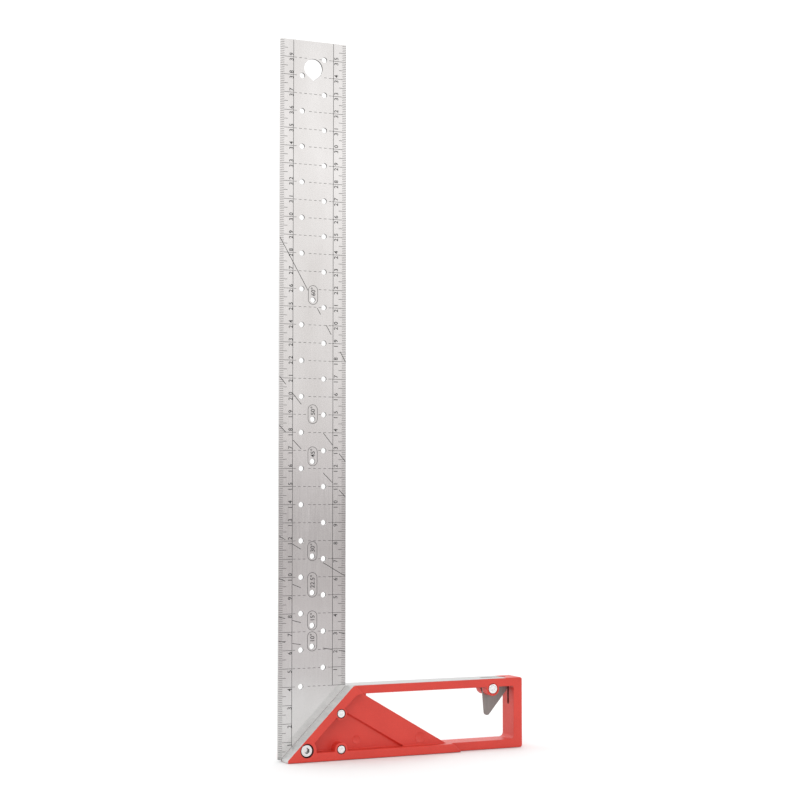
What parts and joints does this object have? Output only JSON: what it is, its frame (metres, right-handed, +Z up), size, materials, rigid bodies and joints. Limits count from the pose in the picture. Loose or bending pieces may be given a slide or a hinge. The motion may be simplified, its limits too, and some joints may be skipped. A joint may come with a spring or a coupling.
{
  "type": "try and mitre square",
  "caption": "L-shaped marking square: flat ruled steel blade with scribing holes and a hanging hole, in a slotted red handle with a 45 degree shoulder, open grip and swing-out ledge.",
  "frame": {"origin": "outer reference corner of the square: the blade's outer edge (X = 0), the handle's base plane (Z = 0) and the middle plane of the blade (Y = 0); the claim uses the outer edge's mount, whose point is 1.8 mm up the blade's outer edge", "axes": "+X along the handle away from the blade's outer edge, +Z up the blade from the handle's base, -Y towards the front of the square, where the screw's head is"},
  "size_m": [0.148, 0.0212, 0.4],
  "materials": {
    "handle_red": "die-cast aluminium under red paint, bare and machined on the mitre and inner faces",
    "blade_steel": "satin stainless steel with etched graduations",
    "rivet_steel": "bright, faced flush",
    "screw_steel": "bright, hexagon socket",
    "lever_steel": "dark grey, matt",
    "washer_steel": "spring steel"
  },
  "bodies": {
    "square": {"handle_casting": "handle_red", "blade": "blade_steel", "blade_rivets": "rivet_steel", "blade_screw": "screw_steel", "pivot_rivet": "rivet_steel", "spring_washer": "washer_steel"},
    "ledge": {"ledge_lever": "lever_steel"}
  },
  "joints": [
    {"name": "ledge_swing", "type": "hinge", "parent": "square", "child": "ledge", "pos_m": [0.1292, 0, 0.0341], "axis": [0, -1, 0], "range_deg": [0, 90]}
  ]
}
